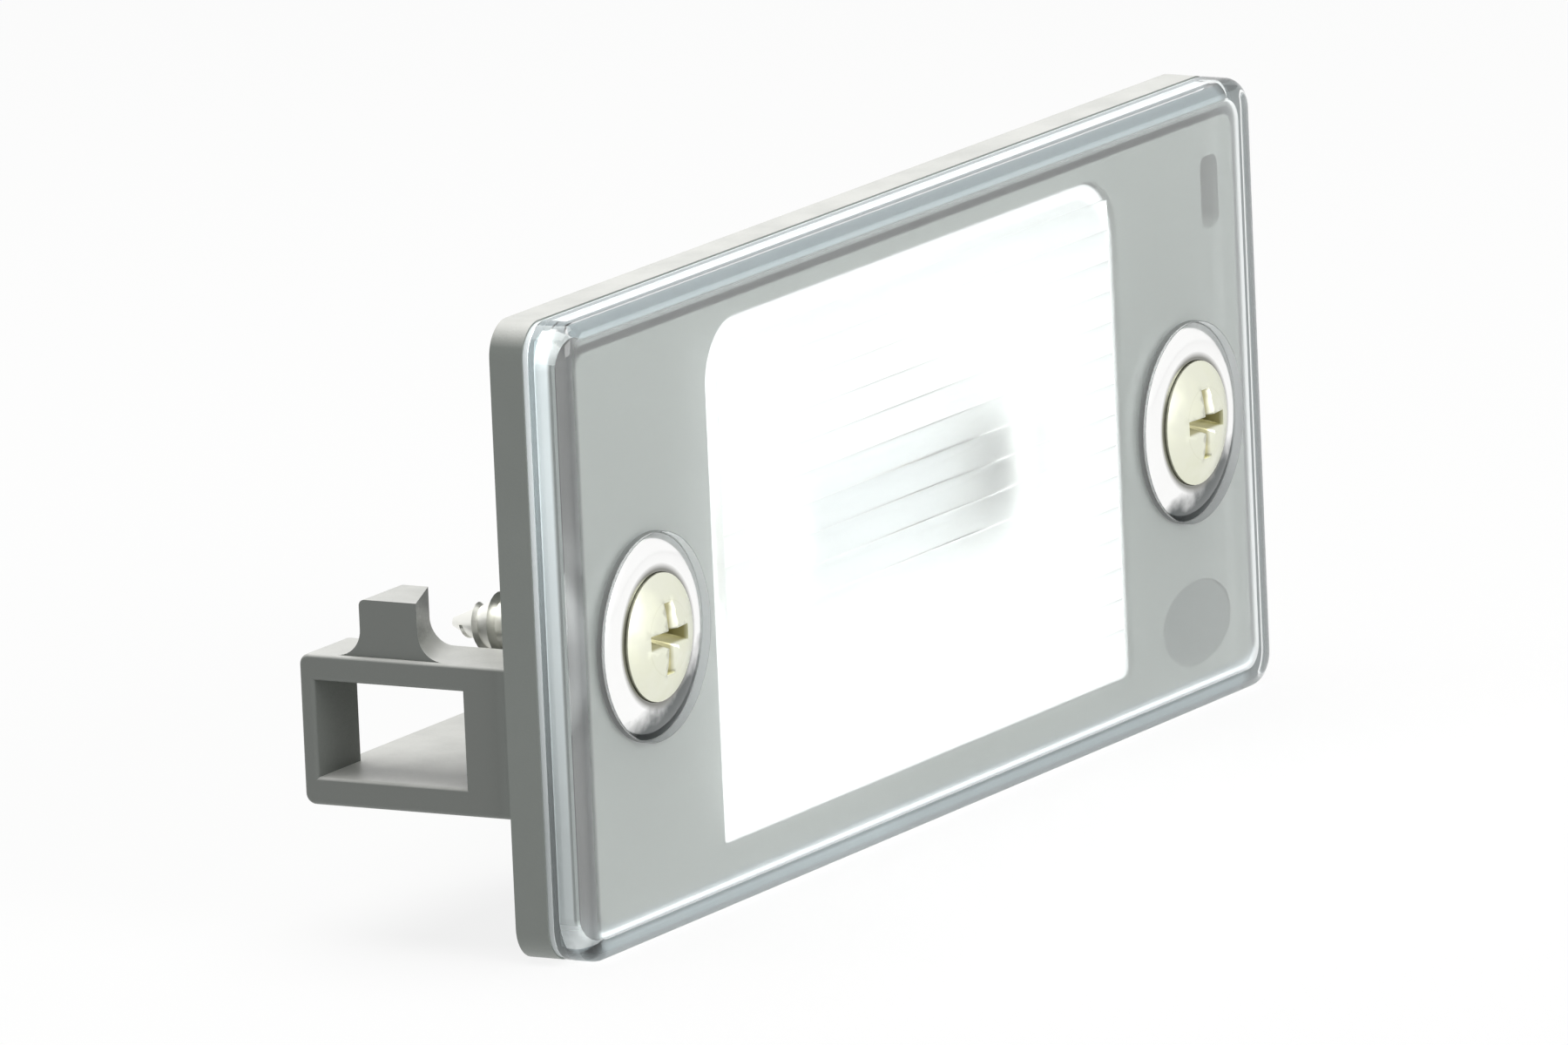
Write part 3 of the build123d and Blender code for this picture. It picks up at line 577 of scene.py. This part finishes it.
world = bpy.data.worlds.new("studio")
world.use_nodes = True
tree = world.node_tree
tree.nodes.clear()
output = tree.nodes.new("ShaderNodeOutputWorld")
ray = tree.nodes.new("ShaderNodeLightPath")
seen = tree.nodes.new("ShaderNodeMath")
seen.operation = "MAXIMUM"
seen_through = tree.nodes.new("ShaderNodeMath")
seen_through.operation = "MAXIMUM"
ambient = tree.nodes.new("ShaderNodeBackground")
ambient.inputs["Color"].default_value = (0.96, 0.98, 1.0, 1.0)
ambient.inputs["Strength"].default_value = 0.13
room = tree.nodes.new("ShaderNodeBackground")
room.inputs["Color"].default_value = (1.0, 1.0, 1.0, 1.0)
choose = tree.nodes.new("ShaderNodeMixShader")
tree.links.new(ray.outputs["Is Camera Ray"], seen.inputs[0])
tree.links.new(ray.outputs["Is Glossy Ray"], seen.inputs[1])
tree.links.new(seen.outputs["Value"], seen_through.inputs[0])
tree.links.new(ray.outputs["Is Transmission Ray"], seen_through.inputs[1])
tree.links.new(seen_through.outputs["Value"], choose.inputs["Fac"])
tree.links.new(ambient.outputs["Background"], choose.inputs[1])
tree.links.new(room.outputs["Background"], choose.inputs[2])
tree.links.new(choose.outputs["Shader"], output.inputs["Surface"])
bpy.context.scene.world = world


def hang_softbox(name, place, aim, size, power, tint):
    """A square softbox at a place, aimed at a point."""
    light = bpy.data.lights.new(name, "AREA")
    light.shape = "SQUARE"
    light.size = size
    light.energy = power
    light.color = tint
    softbox = bpy.data.objects.new(name, light)
    softbox.location = place
    softbox.rotation_euler = (Vector(aim) - Vector(place)).to_track_quat("-Z", "Y").to_euler()
    softbox.visible_camera = False
    bpy.context.scene.collection.objects.link(softbox)


hang_softbox("top_softbox", (0.0, 0.05, 0.62), (0.0, 0.0, 0.0), 0.7, 4.4, (1.0, 1.0, 0.98))
hang_softbox("front_softbox", (-0.12, -0.78, 0.28), (0.0, 0.0, 0.0), 0.5, 3.3, (1.0, 1.0, 1.0))

camera_data = bpy.data.cameras.new("photo_camera")
camera_data.sensor_fit = "HORIZONTAL"
camera_data.sensor_width = 36.0
camera_data.lens = 495.2
camera_data.clip_end = 20.0
camera = bpy.data.objects.new("photo_camera", camera_data)
across = Vector((0.49479, -0.86795, -0.0431))
upright = Vector((0.19507, 0.0626, 0.97879))
behind = Vector((-0.84684, -0.4927, 0.20029))
camera.matrix_world = Matrix.Translation((-1.15095, -0.66432, 0.27075)) @ Matrix(
    (across, upright, behind)
).transposed().to_4x4()
bpy.context.scene.collection.objects.link(camera)
bpy.context.scene.camera = camera
bpy.context.scene.view_settings.view_transform = "Standard"
